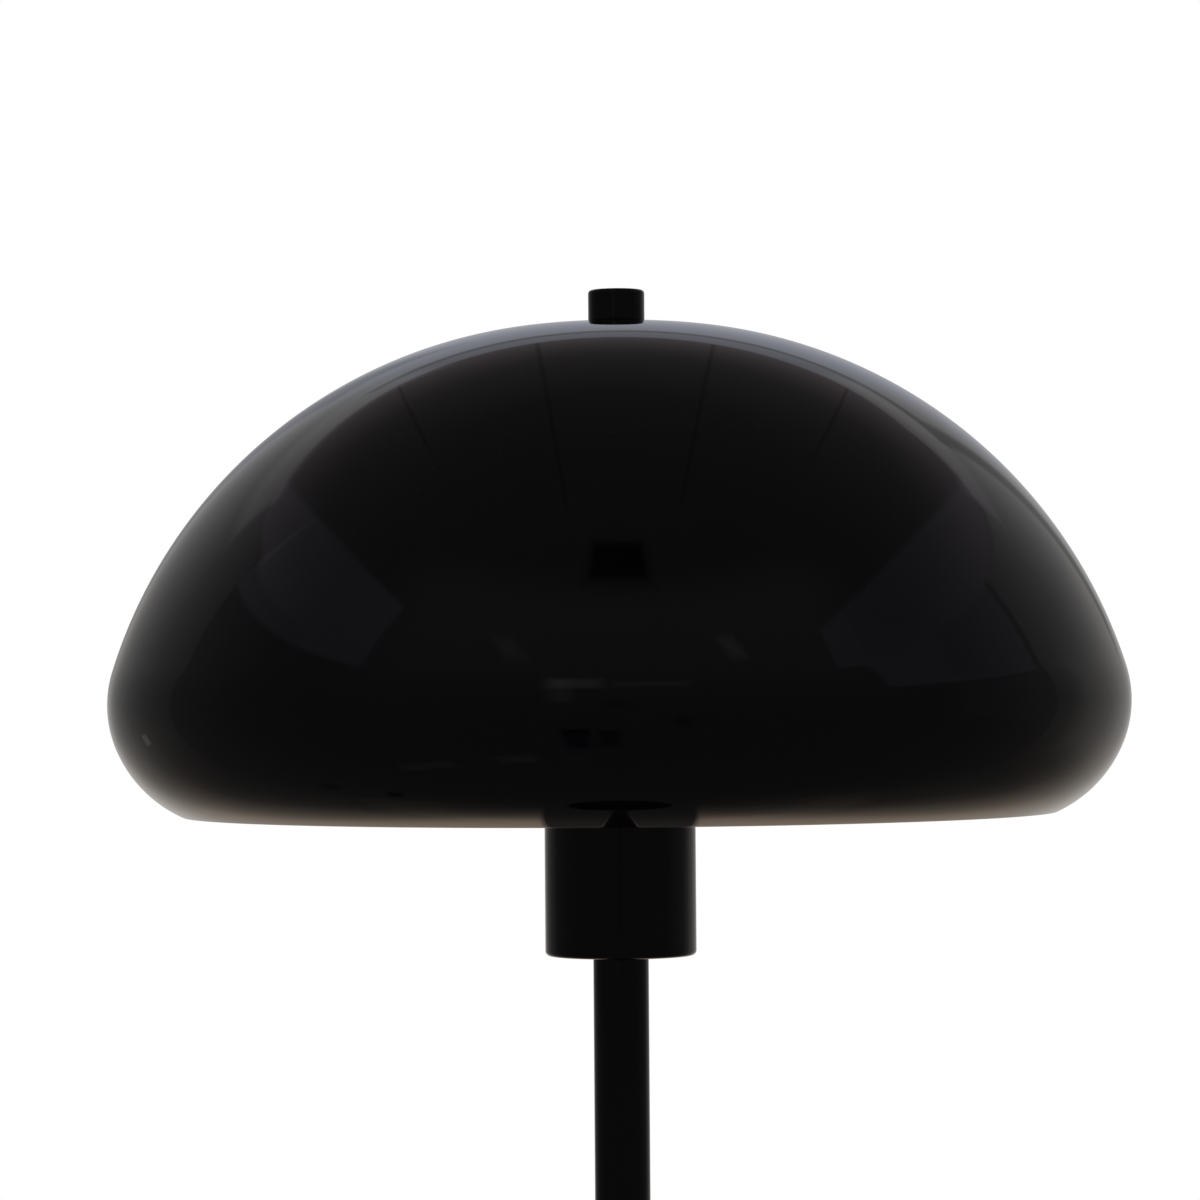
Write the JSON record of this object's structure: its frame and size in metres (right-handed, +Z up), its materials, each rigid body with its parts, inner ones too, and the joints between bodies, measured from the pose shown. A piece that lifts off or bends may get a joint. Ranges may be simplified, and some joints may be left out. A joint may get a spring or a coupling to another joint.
{
  "type": "mushroom floor lamp",
  "caption": "Floor lamp with a glossy domed shade held by a round finial on a wire harp, over a lampholder cup on a slim jointed stem and a round weighted foot.",
  "frame": {"origin": "on the floor under the stem's axis", "axes": "+Z up the stem, front towards -Y, harp in the XZ plane, cord inlet at the rear towards +Y"},
  "size_m": [0.4044, 0.4044, 1.4481],
  "materials": {
    "shade_lacquer": "spun aluminium, high-gloss black lacquer outside and satin white inside",
    "gloss_black": "high-gloss black lacquer",
    "nickel_steel": "bright nickel",
    "zinc_steel": "zinc plated",
    "brass": "plain brass",
    "phenolic": "moulded, semi-matt black",
    "porcelain": "glazed insulating block",
    "nylon": "natural nylon",
    "opal_glass": "opal white",
    "bulb_metal": "rolled bright aluminium",
    "rubber": "soft black rubber",
    "cast_iron": "rough cast, dark primer",
    "felt": "black foam rubber sheet"
  },
  "bodies": {
    "stand": {"shade_washer": "rubber", "harp": "nickel_steel", "harp_hub": "nickel_steel", "harp_stud": "brass", "harp_saddle": "zinc_steel", "saddle_nut": "zinc_steel", "cup": "gloss_black", "cup_washer": "zinc_steel", "cup_nut": "zinc_steel", "cup_tube": "zinc_steel", "holder_cap": "phenolic", "holder_sleeve": "phenolic", "holder_block": "porcelain", "holder_thread": "brass", "centre_contact": "brass", "side_contact": "brass", "terminal_screws": "brass", "stem_head_bush": "zinc_steel", "stem_foot_bush": "zinc_steel", "base_cover": "gloss_black", "base_weight": "cast_iron", "base_tube": "zinc_steel", "base_washer": "zinc_steel", "base_nut": "zinc_steel", "base_pad": "felt", "bottom_plate": "zinc_steel", "plate_screws": "zinc_steel", "earth_screw": "brass", "inlet_bush": "rubber", "stem_lower": "gloss_black", "stem_middle": "gloss_black", "stem_upper": "gloss_black", "stem_coupler_1": "gloss_black", "stem_coupler_2": "gloss_black"},
    "shade": {"shade": "shade_lacquer"},
    "finial_washer": {"finial_washer": "nylon"},
    "finial": {"finial": "gloss_black", "finial_insert": "brass"},
    "bulb": {"bulb_glass": "opal_glass", "bulb_cap": "bulb_metal", "bulb_insulator": "phenolic", "bulb_contact": "bulb_metal"},
    "ferrule_left": {"ferrule_left": "nickel_steel"},
    "ferrule_right": {"ferrule_right": "nickel_steel"}
  },
  "joints": [
    {"name": "shade_lift", "type": "slide", "parent": "stand", "child": "shade", "axis": [0, 0, 1], "range_m": [0, 0.205]},
    {"name": "finial_rise", "type": "slide", "parent": "shade", "child": "finial_washer", "axis": [0, 0, 1], "range_m": [0, 0.008]},
    {"name": "finial_turn", "type": "hinge", "parent": "finial_washer", "child": "finial", "pos_m": [0, 0, 1.4409], "axis": [0, 0, 1], "range_deg": [0, 2880]},
    {"name": "bulb_out", "type": "slide", "parent": "stand", "child": "bulb", "axis": [0, 0, 1], "range_m": [0, 0.028]},
    {"name": "ferrule_left_slide", "type": "slide", "parent": "stand", "child": "ferrule_left", "axis": [0, 0, 1], "range_m": [0, 0.009]},
    {"name": "ferrule_right_slide", "type": "slide", "parent": "stand", "child": "ferrule_right", "axis": [0, 0, 1], "range_m": [0, 0.009]}
  ],
  "couplings": [
    {"joint": "finial_rise", "follows": "finial_turn", "m_per_rad": 0.00015915}
  ]
}
